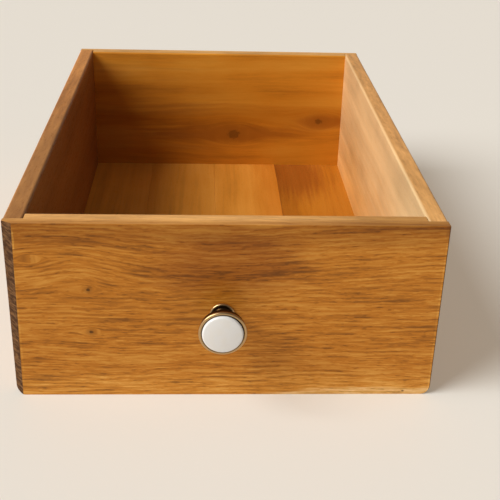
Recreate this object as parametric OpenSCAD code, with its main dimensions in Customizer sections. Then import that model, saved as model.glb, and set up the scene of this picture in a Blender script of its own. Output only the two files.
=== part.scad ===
// Oiled oak drawer case with a porcelain pull knob.
// X runs across the front, Y runs from the front to the back, Z is up.
// The origin is the middle of the underside.

/* [Case] */
// Width over the two sides
case_w = 300; // [260:5:360]
// Depth from the front face to the back face, without the knob
case_d = 450; // [380:5:520]
// Height of all four walls
case_h = 136; // [120:1:160]

/* [Wall boards] */
// Thickness of each side
side_t = 14; // [12:0.5:18]
// Thickness of the front board
front_t = 16; // [14:0.5:20]
// Thickness of the back board
back_t = 14; // [12:0.5:18]
// Part of the front board that laps over the ends of the sides
front_lip = 8; // [6:0.5:9]
// Part of the back board that laps over the ends of the sides
back_lip = 7; // [5:0.5:7.5]
// Round along the top edges
arris_r = 2; // [0.5:0.25:3]
// Round down the upright end edges of the front and back boards
end_r = 2.5; // [1:0.5:4]
// Flat planed down the front board's left-hand end edge, measured across the face
end_flat_w = 6; // [3:0.1:7]
// The same flat, measured through the board
end_flat_d = 3.6; // [2:0.1:5]
// Lean of the flat, which makes it wider at the top
end_flat_lean = 1; // [0:0.1:1.5]
// Round of the lower corners of the front and back boards, seen from the front
low_corner_r = 7; // [2:0.5:8]

/* [Bottom boards] */
// Thickness of the bottom boards
bottom_t = 9; // [8:0.5:12]
// How far the bottom is let into each side
rebate_w = 7; // [5:0.5:8]
// Width of each bottom board but the right-hand one, which fills the rest
bottom_board_w = 69; // [60:1:74]
// Width of the loose tongues between the bottom boards
tongue_w = 8; // [6:0.5:12]
// Thickness of the loose tongues
tongue_t = 3; // [2:0.5:4]

/* [Fixings] */
// Oak pins in each corner joint
pins_per_corner = 3; // [2:1:4]
// Diameter of the oak pins
pin_d = 4; // [3:0.5:4.5]
// Length of the oak pins
pin_len = 30; // [22:1:32]
// Screws along each long edge of the bottom
side_screws = 3; // [2:1:5]
// Shank diameter of the bottom screws
screw_d = 3; // [2.5:0.5:3.5]
// Length of the bottom screws
screw_len = 16; // [14:1:18]

/* [Knob] */
// Place of the knob across the front, from the middle
knob_x = -3; // [-20:0.5:20]
// Height of the knob's axis over the underside
knob_z = 67.5; // [50:0.5:90]
// Diameter over the bezel
knob_d = 33; // [31:0.5:36]
// Diameter of the porcelain that shows inside the bezel
cap_d = 28; // [26:0.5:29]
// How far the knob stands out from the front face
knob_reach = 29; // [25:0.5:34]
// Diameter of the foot on the front face
foot_d = 18; // [14:0.5:22]
// Diameter of the neck at its waist
waist_d = 8; // [7:0.25:9]
// Diameter of the machine screw that holds the knob
bolt_d = 4; // [3:0.5:4]
// Length of the machine screw under its head
bolt_len = 26; // [24:0.5:27]

/* [Hidden] */
$fn = 64;

// How far a cutting shape runs past the face that it cuts
past = 1;

// Planes of the walls
half_w = case_w / 2;
front_y = -case_d / 2;
back_y = case_d / 2;
inner_x = half_w - side_t;
front_seat_y = front_y + front_lip;
back_seat_y = back_y - back_lip;
seat_len = back_seat_y - front_seat_y;
front_tongue_y = (front_seat_y + front_y + front_t) / 2;
back_tongue_y = (back_seat_y + back_y - back_t) / 2;
low_arris_r = 1;

// Bottom boards
bottom_boards = 4;
bottom_half_w = inner_x + rebate_w;
tongue_z = (bottom_t - tongue_t) / 2;

// Bottom screws
screw_head_h = screw_d / 2;
screw_point_h = screw_d * 1.5;
screw_slot_w = 0.8;
screw_slot_h = 0.8;
side_screw_x = inner_x + rebate_w / 2;

// Stations along the knob's axis, counted forward from the front face
foot_h = 3.2;
foot_rim_h = 1.4;
dome_h = 2.5;
bezel_h = 2.5;
cup_h = 7;
bowl_h = 3.6;
recess_h = 3;
bezel_z = knob_reach - dome_h - bezel_h;
cup_z = bezel_z - cup_h;
neck_h = cup_z - foot_h;

// Radii of the knob
bezel_w = (knob_d - cap_d) / 2;
cup_r = knob_d / 2 - 0.9;
seat_r = cap_d / 2 + 0.5;
cap_play = 0.1;
neck_end_r = waist_d / 2 + 1.2;
cup_root_r = neck_end_r + 0.8;
shoulder_r = foot_d / 2 - 2.6;

// Machine screw and washer on the inner face of the front board
bolt_play = 0.08;
bolt_hole_play = 0.2;
bolt_head_d = bolt_d * 2;
bolt_head_h = 2.6;
washer_d = bolt_d * 3;
washer_t = 1;
bolt_seat_z = -front_t - washer_t;

// Left edge of bottom board i, counted from 1; one past the last is the right edge
function board_edge(i) = i > bottom_boards ? bottom_half_w : (i - 1) * bottom_board_w - bottom_half_w;
function board_mid(i) = (board_edge(i) + board_edge(i + 1)) / 2;

// Place of side screw k along the depth, counted from 1
function side_screw_y(k) = front_seat_y + seat_len * k / (side_screws + 1);

function pin_z(k) = case_h * (k - 0.5) / pins_per_corner;

// Distance from the wide end of a spherical zone's narrow end plane to the sphere's centre
function zone_centre(r_narrow, r_wide, h) = (h * h + r_wide * r_wide - r_narrow * r_narrow) / (2 * h);

// Radius of the arc with this half chord and this rise
function arc_r(half_chord, rise) = (half_chord * half_chord + rise * rise) / (2 * rise);

bottom_screw_points = concat(
    [for (y = [front_tongue_y, back_tongue_y], i = [1:bottom_boards]) [board_mid(i), y]],
    [for (side = [-1, 1], k = [1:side_screws]) [side * side_screw_x, side_screw_y(k)]]
);

// Waste outside a rounded corner whose tip is at the origin and whose sides run along +X and +Y
module corner_waste(r) {
    difference() {
        translate([-past, -past]) square(r + past);
        translate([r, r]) circle(r);
    }
}

// Rectangle from the origin with a radius for each corner: low left, low right, top right, top left
module board_outline(w, h, radii) {
    difference() {
        square([w, h]);
        if (radii[0] > 0) corner_waste(radii[0]);
        if (radii[1] > 0) translate([w, 0]) mirror([1, 0]) corner_waste(radii[1]);
        if (radii[2] > 0) translate([w, h]) rotate(180) corner_waste(radii[2]);
        if (radii[3] > 0) translate([0, h]) mirror([0, 1]) corner_waste(radii[3]);
    }
}

// Board across the case with its outer face on y = 0, lapped over the sides and let in for the bottom
module cross_board(t, lip) {
    difference() {
        intersection() {
            translate([-half_w, 0, 0]) rotate([90, 0, 90]) linear_extrude(case_w)
                board_outline(t, case_h, [low_arris_r, 0, arris_r, arris_r]);
            translate([-half_w, t, 0]) rotate([90, 0, 0]) linear_extrude(t)
                board_outline(case_w, case_h, [low_corner_r, low_corner_r, arris_r, arris_r]);
            translate([-half_w, 0, 0]) linear_extrude(case_h)
                board_outline(case_w, t, [end_r, end_r, 0, 0]);
        }
        for (side = [-1, 1])
            translate([side * (inner_x + case_w / 2) - case_w / 2, lip, -past])
                cube([case_w, t, case_h + 2 * past]);
        translate([-half_w, lip, -past]) cube([case_w, t, bottom_t + past]);
    }
}

// Waste outside the flat of an end edge, with the middle of the flat's inner line at the origin
module end_flat_waste() {
    rotate([0, end_flat_lean, 0]) rotate([0, 0, -atan2(end_flat_d, end_flat_w)])
        translate([-case_h, -case_h, -case_h]) cube([2 * case_h, case_h, 2 * case_h]);
}

module right_corner_pins(y) {
    for (k = [1:pins_per_corner])
        translate([half_w, y, pin_z(k)]) rotate([0, -90, 0]) cylinder(h = pin_len, d = pin_d);
}

module left_corner_pins(y) {
    mirror([1, 0, 0]) right_corner_pins(y);
}

// Countersunk screw standing on its head, point up
module wood_screw_body() {
    cylinder(h = screw_head_h, d1 = 2 * screw_d, d2 = screw_d);
    cylinder(h = screw_len - screw_point_h, d = screw_d);
    translate([0, 0, screw_len - screw_point_h])
        cylinder(h = screw_point_h, d1 = screw_d, d2 = screw_d / 8);
}

module bottom_screw_holes() {
    for (p = bottom_screw_points) translate(p) wood_screw_body();
}

// Moves a shape that stands on +Z to the knob's axis, pointing forward from the front face
module on_knob_axis() {
    translate([knob_x, front_y, knob_z]) rotate([90, 0, 0]) children();
}

module front_board() {
    color("peru") difference() {
        translate([0, front_y, 0]) cross_board(front_t, front_lip);
        translate([-half_w + end_flat_w, front_y, case_h / 2]) end_flat_waste();
        right_corner_pins(front_tongue_y);
        left_corner_pins(front_tongue_y);
        bottom_screw_holes();
        on_knob_axis() translate([0, 0, -front_t - past])
            cylinder(h = front_t + 2 * past, d = bolt_d + 2 * bolt_play);
    }
}

module back_board() {
    color("peru") difference() {
        translate([0, back_y, 0]) mirror([0, 1, 0]) cross_board(back_t, back_lip);
        right_corner_pins(back_tongue_y);
        left_corner_pins(back_tongue_y);
        bottom_screw_holes();
    }
}

module side_shape() {
    difference() {
        translate([inner_x, back_seat_y, 0]) rotate([90, 0, 0]) linear_extrude(seat_len)
            board_outline(side_t, case_h, [0, low_arris_r, arris_r, arris_r]);
        translate([inner_x - past, front_seat_y - past, -past])
            cube([rebate_w + past, seat_len + 2 * past, bottom_t + past]);
        right_corner_pins(front_tongue_y);
        right_corner_pins(back_tongue_y);
    }
}

module right_side() {
    color("burlywood") difference() {
        side_shape();
        bottom_screw_holes();
    }
}

module left_side() {
    color("burlywood") difference() {
        mirror([1, 0, 0]) side_shape();
        bottom_screw_holes();
    }
}

module tongue(i) {
    translate([board_edge(i + 1) - tongue_w / 2, front_seat_y, tongue_z])
        cube([tongue_w, seat_len, tongue_t]);
}

module bottom_tongue(i) {
    color("tan") tongue(i);
}

module bottom_board(i) {
    color("sandybrown") difference() {
        translate([board_edge(i), front_seat_y, 0])
            cube([board_edge(i + 1) - board_edge(i), seat_len, bottom_t]);
        if (i > 1) tongue(i - 1);
        if (i < bottom_boards) tongue(i);
        bottom_screw_holes();
    }
}

module front_left_pins() {
    color("saddlebrown") left_corner_pins(front_tongue_y);
}

module front_right_pins() {
    color("saddlebrown") right_corner_pins(front_tongue_y);
}

module back_left_pins() {
    color("saddlebrown") left_corner_pins(back_tongue_y);
}

module back_right_pins() {
    color("saddlebrown") right_corner_pins(back_tongue_y);
}

module bottom_screws() {
    color("silver") for (p = bottom_screw_points) translate(p) difference() {
        wood_screw_body();
        translate([-2 * screw_d, -screw_slot_w / 2, -past])
            cube([4 * screw_d, screw_slot_w, screw_slot_h + past]);
    }
}

// Turned plate under the neck, with a cove between its rim and its shoulder
module knob_foot() {
    color("darkgoldenrod") on_knob_axis() rotate_extrude() difference() {
        square([foot_d / 2, foot_h]);
        translate([foot_d / 2, foot_rim_h + foot_d / 2 - shoulder_r]) circle(foot_d / 2 - shoulder_r);
        translate([shoulder_r, foot_rim_h + foot_d / 2 - shoulder_r]) square([foot_d, foot_h]);
        translate([-past, -past]) square([bolt_d / 2 + bolt_hole_play + past, foot_h + 2 * past]);
    }
}

// Waisted neck, bored for the machine screw
module knob_neck() {
    neck_waist = arc_r(neck_h / 2, neck_end_r - waist_d / 2);
    color("darkgoldenrod") on_knob_axis() translate([0, 0, foot_h]) difference() {
        rotate_extrude() difference() {
            square([neck_end_r, neck_h]);
            translate([waist_d / 2 + neck_waist, neck_h / 2]) circle(neck_waist);
        }
        translate([0, 0, -past]) cylinder(h = bolt_seat_z + bolt_len - foot_h + past, d = bolt_d);
    }
}

// Shallow dish that holds the porcelain
module knob_cup() {
    bowl_centre = zone_centre(cup_root_r, cup_r, bowl_h);
    bowl_r = sqrt(bowl_centre * bowl_centre + cup_root_r * cup_root_r);
    color("darkgoldenrod") on_knob_axis() translate([0, 0, cup_z]) difference() {
        union() {
            intersection() {
                translate([0, 0, bowl_centre]) sphere(bowl_r);
                cylinder(h = bowl_h, r = cup_r);
            }
            translate([0, 0, bowl_h]) cylinder(h = cup_h - bowl_h, r = cup_r);
        }
        translate([0, 0, cup_h - recess_h]) cylinder(h = recess_h + past, r = seat_r);
    }
}

// Half-round ring over the rim of the dish
module knob_bezel() {
    color("goldenrod") on_knob_axis() translate([0, 0, bezel_z]) rotate_extrude() {
        translate([cap_d / 2, 0]) square([bezel_w, bezel_h - bezel_w / 2]);
        translate([cap_d / 2 + bezel_w / 2, bezel_h - bezel_w / 2]) circle(bezel_w / 2);
    }
}

// Glazed button with a hidden flange and a low dome
module knob_cap() {
    dome_r = arc_r(cap_d / 2, dome_h);
    color("white") on_knob_axis() translate([0, 0, bezel_z]) {
        translate([0, 0, -recess_h]) cylinder(h = recess_h, r = seat_r - cap_play);
        cylinder(h = bezel_h, d = cap_d);
        intersection() {
            translate([0, 0, bezel_h + dome_h - dome_r]) sphere(dome_r);
            cylinder(h = bezel_h + dome_h, d = cap_d);
        }
    }
}

module knob_washer() {
    color("silver") on_knob_axis() translate([0, 0, bolt_seat_z]) difference() {
        cylinder(h = washer_t, d = washer_d);
        translate([0, 0, -past]) cylinder(h = washer_t + 2 * past, d = bolt_d + 2 * bolt_hole_play);
    }
}

// Machine screw with a low round head and a cross recess
module knob_screw() {
    head_dome_r = arc_r(bolt_head_d / 2, bolt_head_h);
    color("silver") on_knob_axis() translate([0, 0, bolt_seat_z]) {
        cylinder(h = bolt_len, d = bolt_d);
        difference() {
            intersection() {
                translate([0, 0, head_dome_r - bolt_head_h]) sphere(head_dome_r);
                translate([0, 0, -bolt_head_h]) cylinder(h = bolt_head_h, d = bolt_head_d);
            }
            for (turn = [0, 90]) rotate(turn)
                translate([-bolt_d / 2, -0.5, -bolt_head_h - past]) cube([bolt_d, 1, past + 1.2]);
        }
    }
}

front_board();
back_board();
left_side();
right_side();
bottom_board(1);  // bottom_board_1
bottom_board(2);  // bottom_board_2
bottom_board(3);  // bottom_board_3
bottom_board(4);  // bottom_board_4
bottom_tongue(1);  // bottom_tongue_1
bottom_tongue(2);  // bottom_tongue_2
bottom_tongue(3);  // bottom_tongue_3
front_left_pins();
front_right_pins();
back_left_pins();
back_right_pins();
bottom_screws();
knob_foot();
knob_neck();
knob_cup();
knob_bezel();
knob_cap();
knob_washer();
knob_screw();
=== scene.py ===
"""Looks of an oiled oak drawer case with a porcelain pull knob.

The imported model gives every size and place. Each sub-assembly below builds its own
pieces around it with mesh operators, dresses them and puts them on their bodies.
Lengths are in metres: X runs across the front, Y from front to back, Z is up.
"""

import logging
from dataclasses import dataclass, field
from enum import Enum
from math import cos, pi, radians, sin, tan, tau
from random import Random
from typing import Callable, Optional, Sequence, Union

import bmesh
import bpy
from mathutils import Matrix, Vector


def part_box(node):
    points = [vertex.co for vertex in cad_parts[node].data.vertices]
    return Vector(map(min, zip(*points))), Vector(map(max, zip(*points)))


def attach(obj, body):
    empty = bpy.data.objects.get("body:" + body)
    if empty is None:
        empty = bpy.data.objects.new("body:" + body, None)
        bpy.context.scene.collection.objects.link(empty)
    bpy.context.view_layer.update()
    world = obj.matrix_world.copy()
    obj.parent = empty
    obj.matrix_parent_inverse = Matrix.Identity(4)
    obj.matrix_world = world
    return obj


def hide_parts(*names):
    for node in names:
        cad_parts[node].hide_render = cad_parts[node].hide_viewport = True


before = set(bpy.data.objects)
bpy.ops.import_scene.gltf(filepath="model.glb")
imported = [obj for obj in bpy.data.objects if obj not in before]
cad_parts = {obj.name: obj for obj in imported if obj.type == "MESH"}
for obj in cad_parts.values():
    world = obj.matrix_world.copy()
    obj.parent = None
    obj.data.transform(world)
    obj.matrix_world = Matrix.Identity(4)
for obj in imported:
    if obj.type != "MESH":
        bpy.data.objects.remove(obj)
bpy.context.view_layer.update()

log = logging.getLogger("drawer")

MM = 0.001
HAIR = 0.01 * MM
UP = Vector((0, 0, 1))

Colour = tuple[float, float, float]
Value = Union[float, Sequence[float], bpy.types.NodeSocket]
Point = tuple[float, float]
Rates = tuple[float, float, float]


class Body(Enum):
    """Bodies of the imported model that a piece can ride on."""

    DRAWER = "drawer"
    KNOB = "knob"


class Slot(Enum):
    """Material slots of the record."""

    WALLS = "oak_walls"
    BOTTOM = "oak_bottom"
    PINS = "oak_pins"
    BRASS = "antique_brass"
    PORCELAIN = "porcelain"
    STEEL = "zinc_steel"


class Grain(Enum):
    """Axes that the grain runs along, across and through a board."""

    ALONG_X = (0, 2, 1)
    ALONG_Y_UPRIGHT = (1, 2, 0)
    ALONG_Y_FLAT = (1, 0, 2)


class Graph:
    """Adds shader nodes to one material and links them."""

    def __init__(self, name: str) -> None:
        """Starts a material with a Principled shader.

        Args:
            name: Name of the material.
        """
        self.material = bpy.data.materials.new(name)
        self.material.use_nodes = True
        self.tree = self.material.node_tree
        self.shader = next(n for n in self.tree.nodes if n.type == "BSDF_PRINCIPLED")

    def node(self, kind: str, **settings: object) -> bpy.types.Node:
        """Adds a node.

        Args:
            kind: Type name of the node, without its ShaderNode prefix.
            settings: Properties to set on the node.

        Returns:
            The new node.
        """
        made = self.tree.nodes.new("ShaderNode" + kind)
        for key, value in settings.items():
            setattr(made, key, value)
        return made

    def feed(self, socket: bpy.types.NodeSocket, value: Value) -> None:
        """Links a socket to another socket, or sets its constant.

        Args:
            socket: Input that receives the value.
            value: Output socket, number or colour.
        """
        if isinstance(value, bpy.types.NodeSocket):
            self.tree.links.new(value, socket)
        elif isinstance(value, (int, float)):
            socket.default_value = value
        else:
            rgba = len(socket.default_value) == 4 and len(value) == 3
            socket.default_value = (*value, 1.0) if rgba else tuple(value)

    def math(self, operation: str, *values: Value, clamp: bool = False) -> bpy.types.NodeSocket:
        """Adds a Math node.

        Args:
            operation: Blender's name of the operation.
            values: Its inputs, in order.
            clamp: Whether the result is kept between 0 and 1.

        Returns:
            The result.
        """
        made = self.node("Math", operation=operation, use_clamp=clamp)
        for socket, value in zip(made.inputs, values):
            self.feed(socket, value)
        return made.outputs[0]

    def vector(self, x: Value, y: Value, z: Value) -> bpy.types.NodeSocket:
        """Joins three numbers into a vector.

        Args:
            x: First number.
            y: Second number.
            z: Third number.

        Returns:
            The vector.
        """
        made = self.node("CombineXYZ")
        for socket, value in zip(made.inputs, (x, y, z)):
            self.feed(socket, value)
        return made.outputs[0]

    def scaled(self, parts: Sequence[bpy.types.NodeSocket], rates: Sequence[float],
               shift: float) -> bpy.types.NodeSocket:
        """Multiplies three numbers by their own rates, adds a shift and joins them.

        Args:
            parts: Three numbers.
            rates: What each is multiplied by.
            shift: What is added to each, to move through a noise.

        Returns:
            The vector.
        """
        return self.vector(*(self.math("MULTIPLY_ADD", p, r, shift) for p, r in zip(parts, rates)))

    def place(self, rates: Rates) -> bpy.types.NodeSocket:
        """Reads the Object coordinates, each multiplied by its own rate.

        Args:
            rates: What each coordinate is multiplied by.

        Returns:
            The vector.
        """
        scale = self.node("Mapping")
        self.feed(scale.inputs[0], self.node("TexCoord").outputs["Object"])
        self.feed(scale.inputs["Scale"], rates)
        return scale.outputs[0]

    def noise(self, vector: Value, detail: float = 2.0, roughness: float = 0.5,
              distortion: float = 0.0) -> bpy.types.NodeSocket:
        """Adds a noise of unit scale.

        Args:
            vector: Where it is read.
            detail: Octaves.
            roughness: Weight of the finer octaves.
            distortion: How far it is folded.

        Returns:
            A number around 0.5.
        """
        made = self.node("TexNoise")
        for name, value in (("Vector", vector), ("Scale", 1.0), ("Detail", detail),
                            ("Roughness", roughness), ("Distortion", distortion)):
            self.feed(made.inputs[name], value)
        return made.outputs["Fac"]

    def ramp(self, factor: Value, stops: Sequence[tuple[float, Colour]]) -> bpy.types.NodeSocket:
        """Adds a colour ramp.

        Args:
            factor: Where the ramp is read.
            stops: Places from 0 to 1, with their colours.

        Returns:
            The colour.
        """
        made = self.node("ValToRGB")
        elements = made.color_ramp.elements
        while len(elements) < len(stops):
            elements.new(0.5)
        for element, (place, colour) in zip(elements, stops):
            element.position = place
            element.color = (*colour, 1.0)
        self.feed(made.inputs[0], factor)
        return made.outputs[0]

    def blend(self, factor: Value, first: Value, second: Value,
              mode: str = "MIX") -> bpy.types.NodeSocket:
        """Mixes two colours.

        Args:
            factor: Share of the second colour.
            first: First colour.
            second: Second colour.
            mode: Blender's name of the blend mode.

        Returns:
            The mixed colour.
        """
        made = self.node("Mix", data_type="RGBA", blend_type=mode)
        sockets = [s for s in made.inputs if s.type == "RGBA"]
        self.feed(made.inputs[0], factor)
        self.feed(sockets[0], first)
        self.feed(sockets[1], second)
        return next(s for s in made.outputs if s.type == "RGBA")

    def step(self, value: Value, low: float, high: float) -> bpy.types.NodeSocket:
        """Rises smoothly from 0 to 1.

        Args:
            value: Number that is read.
            low: Where the rise starts.
            high: Where the rise ends.

        Returns:
            A number from 0 to 1.
        """
        made = self.node("MapRange", interpolation_type="SMOOTHSTEP")
        for socket, item in zip(made.inputs, (value, low, high, 0.0, 1.0)):
            self.feed(socket, item)
        return made.outputs[0]

    def bump(self, height: Value, distance: float, strength: float) -> None:
        """Bumps the shader's normal.

        Args:
            height: Height from 0 to 1.
            distance: Depth of a full step, in metres.
            strength: Share of the effect.
        """
        made = self.node("Bump")
        self.feed(made.inputs["Height"], height)
        self.feed(made.inputs["Distance"], distance)
        self.feed(made.inputs["Strength"], strength)
        self.feed(self.shader.inputs["Normal"], made.outputs[0])

    def set(self, **constants: Value) -> None:
        """Sets inputs of the shader, written with underscores for spaces.

        Args:
            constants: Input names and their values.
        """
        for name, value in constants.items():
            self.feed(self.shader.inputs[name.replace("_", " ")], value)


@dataclass(frozen=True)
class Knot:
    """Knot in a board: the dark core and the oval that the grain flows around."""

    along: float
    across: float
    core: float
    flow: float
    depth: float = 0.8


@dataclass(frozen=True)
class Swell:
    """Gentle rise or dip in the lines of the grain."""

    along: float
    across: float
    rise: float
    half_length: float
    half_width: float


@dataclass(frozen=True)
class Stain:
    """Soft patch where the wood is darker, redder or paler."""

    along: float
    across: float
    half_length: float
    half_width: float
    colour: Colour
    share: float
    edge: float = 0.5


@dataclass(frozen=True)
class Skin:
    """Thin layer near one face of a board that has its own tint and a softer figure."""

    face: float
    tint: Colour
    mode: str = "MULTIPLY"
    share: float = 1.0
    detail: float = 1.0
    lines: float = 1.0
    depth: float = 2.5 * MM


@dataclass(frozen=True)
class Contrast:
    """How far each layer of the figure lightens or darkens the wood."""

    middle: float = 0.53
    bands: float = 0.75
    clouds: float = 0.45
    rings: float = 0.75
    dark_lines: float = -0.16
    fine: float = 1.3
    dark_dashes: float = -0.25
    pale_dashes: float = 0.20


@dataclass(frozen=True)
class OakFinish:
    """Oiled oak cut from a solid: rings, streaks, pores, knots and darker ends.

    The rings run through the board at an angle, so that faces show lines and ends
    show slanted bands. Places and sizes are in metres, and rates are per metre.
    """

    name: str
    grain: Grain
    dark: Colour
    middle: Colour
    light: Colour
    shift: float
    skin: Skin
    slope: float = 0.0
    ring_angle: float = 62.0
    ring_rate: float = 290.0
    fine_rate: float = 551.0
    dash_rate: float = 928.0
    fibre_rate: float = 754.0
    waver: float = 5.0 * MM
    ripple: float = 2.0 * MM
    contrast: Contrast = Contrast()
    swells: tuple[Swell, ...] = ()
    knots: tuple[Knot, ...] = ()
    stains: tuple[Stain, ...] = ()
    rim_stains: tuple[Stain, ...] = ()
    # Painted light: faces that point up are blended towards this tint, a painted sheen on the top
    # edges; where the tint is darker than the wood it is a painted shade instead.
    top_light: Colour = (0.70, 0.42, 0.175)
    top_light_share: float = 0.6
    rim_detail: float = 0.5
    # Near this face the painted top light falls to the lower share, a painted shade on the front
    # part of the top edge.
    dim_top_face: Optional[float] = None
    dim_top_share: float = 0.35
    band_share: float = 1.0
    band_rate: float = 1.0
    end_dark: Colour = (0.060, 0.024, 0.008)
    end_pale: Colour = (0.22, 0.105, 0.040)
    end_roughness: float = 0.4
    roughness: float = 0.45
    relief: float = 0.30 * MM

    def build(self) -> bpy.types.Material:
        """Makes the material.

        Returns:
            The material, which reads Object coordinates only.
        """
        g = Graph(self.name)
        place = g.node("TexCoord")
        split = g.node("SeparateXYZ")
        g.feed(split.inputs[0], place.outputs["Object"])
        facing = g.node("SeparateXYZ")
        g.feed(facing.inputs[0], place.outputs["Normal"])
        along, across, through = (split.outputs[i] for i in self.grain.value)
        end = g.step(g.math("ABSOLUTE", facing.outputs[self.grain.value[0]]), 0.06, 0.32)
        rim = g.step(facing.outputs[2], 0.70, 0.99)
        line = self._line(g, along, across, through)
        ring = g.math("MULTIPLY_ADD", through, 1.0 / tan(radians(self.ring_angle)), line)
        parts = (along, ring, through)

        rings = self._layer(g, parts, (10.0, self.ring_rate, 30.0), 0.0, 1.0)
        fine = self._layer(g, parts, (40.0, self.fine_rate, 60.0), 7.7, 1.5)
        dashes = self._layer(g, parts, (150.0, self.dash_rate, 300.0), 4.1, 1.0)
        dark_dashes = g.step(dashes, 0.58, 0.72)
        near = g.step(g.math("ABSOLUTE", g.math("SUBTRACT", through, self.skin.face)),
                      self.skin.depth, 0.6 * self.skin.depth)
        crisp = g.math("MULTIPLY_ADD", near, self.skin.detail - 1.0, 1.0)
        crisp = g.math("MULTIPLY", crisp, g.math("MULTIPLY_ADD", rim, self.rim_detail - 1.0, 1.0))
        tone = self._tone(g, parts, near, crisp, rings, fine, dashes, dark_dashes)

        colour = g.ramp(tone, ((0.10, self.dark), (0.5, self.middle), (0.90, self.light)))
        figure = g.math("MULTIPLY_ADD", tone, 1.1, 0.42)
        tint = self.skin.tint
        if self.skin.mode == "MIX":
            tint = g.blend(1.0, tint, figure, "MULTIPLY")
        colour = g.blend(g.math("MULTIPLY", near, self.skin.share), colour, tint, self.skin.mode)
        for stain in self.stains:
            colour = self._stain(g, colour, stain, along, across, line)
        for knot in self.knots:
            colour = self._knot(g, colour, knot, along, across)
        # Painted light and shade on the top edges: up-facing faces take the top tint by its share,
        # less of it near the chosen face.
        top = rim
        if self.dim_top_face is not None:
            inward = g.math("ABSOLUTE", g.math("SUBTRACT", through, self.dim_top_face))
            fade = g.math("MULTIPLY_ADD", g.step(inward, 2 * MM, 11 * MM),
                            1.0 - self.dim_top_share, self.dim_top_share)
            top = g.math("MULTIPLY", top, fade)
        top_light = g.blend(1.0, self.top_light, figure, "MULTIPLY")
        colour = g.blend(g.math("MULTIPLY", top, self.top_light_share), colour, top_light)
        for stain in self.rim_stains:
            colour = self._stain(g, colour, stain, along, across, line)
        fibres = self._layer(g, parts, (25.0, self.fibre_rate, 520.0), 0.0, 2.0, 0.65)
        fibres = g.math("MULTIPLY_ADD", g.math("SUBTRACT", rings, 0.5), -0.35, fibres)
        end_grain = g.ramp(fibres, ((0.40, self.end_dark), (0.72, self.end_pale)))
        g.feed(g.shader.inputs["Base Color"], g.blend(end, colour, end_grain))

        rough = g.math("MULTIPLY_ADD", fine, 0.22, self.roughness - 0.11)
        rough = g.math("MULTIPLY_ADD", dark_dashes, 0.15, rough)
        rough = g.math("MULTIPLY_ADD", end, self.end_roughness, rough)
        g.feed(g.shader.inputs["Roughness"], rough)
        g.set(IOR=1.48, Specular_IOR_Level=0.22)
        height = g.math("MULTIPLY_ADD", fine, 0.5, g.math("MULTIPLY", dark_dashes, -0.5))
        g.bump(g.math("MULTIPLY", height, crisp), self.relief, 0.6)
        return g.material

    def _layer(self, g: Graph, parts: Sequence[Value], rates: Rates, shift: float,
               detail: float, roughness: float = 0.55) -> bpy.types.NodeSocket:
        """Reads one noise of the figure.

        Args:
            g: Graph that takes the nodes.
            parts: Place along the grain, over the rings and through the board.
            rates: How fast the noise changes along each of them.
            shift: What sets it apart from the other noises of the board.
            detail: Octaves.
            roughness: Weight of the finer octaves.

        Returns:
            A number around 0.5.
        """
        return g.noise(g.scaled(parts, rates, self.shift + shift), detail, roughness)

    def _tone(self, g: Graph, parts: Sequence[Value], near: Value, crisp: Value, rings: Value,
              fine: Value, dashes: Value, dark_dashes: Value) -> bpy.types.NodeSocket:
        """Adds up the layers of the figure.

        Args:
            g: Graph that takes the nodes.
            parts: Place along the grain, over the rings and through the board.
            near: 1 in the skin, 0 elsewhere.
            crisp: Share of the fine detail that shows.
            rings: Noise of the growth rings.
            fine: Noise of the fine lines.
            dashes: Noise of the pores.
            dark_dashes: Where the pores are dark.

        Returns:
            A number from dark to light, around 0.5.
        """
        c = self.contrast
        bands = self._layer(g, parts, (4.0 * self.band_rate, 70.0 * self.band_rate, 14.0), 3.1, 2.0)
        clouds = self._layer(g, parts, (12.0, 24.0, 24.0), 5.2, 2.0)
        tone = c.middle
        for value, share in ((bands, c.bands), (clouds, c.clouds)):
            value = g.math("SUBTRACT", value, 0.5)
            tone = g.math("MULTIPLY_ADD", value, share * self.band_share, tone)
        lined = g.math("MULTIPLY_ADD", near, self.skin.lines - 1.0, 1.0)
        lines = g.math("MULTIPLY_ADD", g.step(rings, 0.56, 0.68), c.dark_lines,
                       g.math("MULTIPLY_ADD", rings, c.rings, -c.rings / 2))
        tone = g.math("MULTIPLY_ADD", lines, lined, tone)
        detail = g.math("MULTIPLY_ADD", fine, c.fine, -c.fine / 2)
        detail = g.math("MULTIPLY_ADD", dark_dashes, c.dark_dashes, detail)
        detail = g.math("MULTIPLY_ADD", g.step(dashes, 0.42, 0.30), c.pale_dashes, detail)
        return g.math("MULTIPLY_ADD", detail, crisp, tone)

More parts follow.
